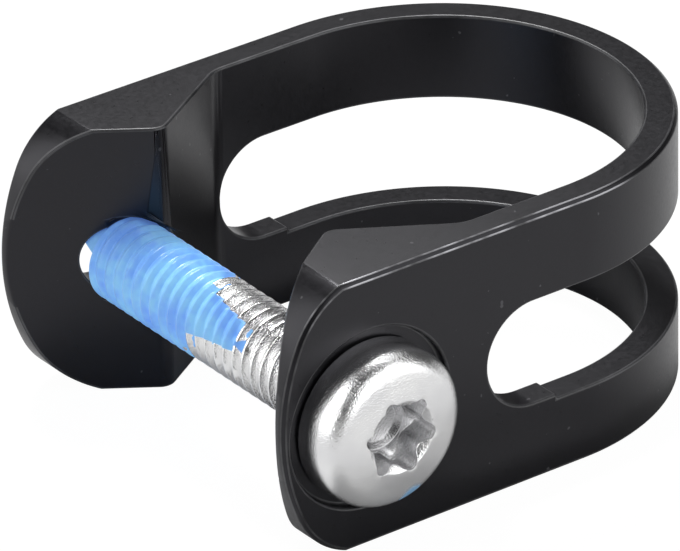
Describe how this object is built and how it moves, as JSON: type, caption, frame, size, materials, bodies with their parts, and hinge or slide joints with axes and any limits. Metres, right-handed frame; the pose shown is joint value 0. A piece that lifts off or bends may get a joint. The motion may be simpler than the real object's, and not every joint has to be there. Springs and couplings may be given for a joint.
{
  "type": "brake lever clamp",
  "caption": "Slotted U-shaped band with wedge-shaped ears and a cross bolt that clamps a brake lever onto a handlebar.",
  "frame": {"origin": "on the bar's axis, level with the edge of the band that the clamp stands on", "axes": "+Z along the bar's axis, +X from the ears towards the band's closed end, +Y from the bolt's head towards its tip"},
  "size_m": [0.0328, 0.0286, 0.0158],
  "materials": {
    "black_anodised": "satin black anodised over a fine bead-blasted surface, with bright worn edges",
    "stainless": "bright stainless steel with a fine tumbled surface",
    "threadlocker": "dry light-blue threadlocker, thin and slightly glossy over the thread"
  },
  "bodies": {
    "clamp": {"clamp_band": "black_anodised"},
    "bolt": {"clamp_bolt": "stainless", "threadlocker_patch": "threadlocker"}
  },
  "joints": [
    {"name": "bolt_turn", "type": "hinge", "parent": "clamp", "child": "bolt", "pos_m": [-0.01435, 0, 0.00775], "axis": [-0.0122, 0.9997, 0.0192], "continuous": true}
  ]
}
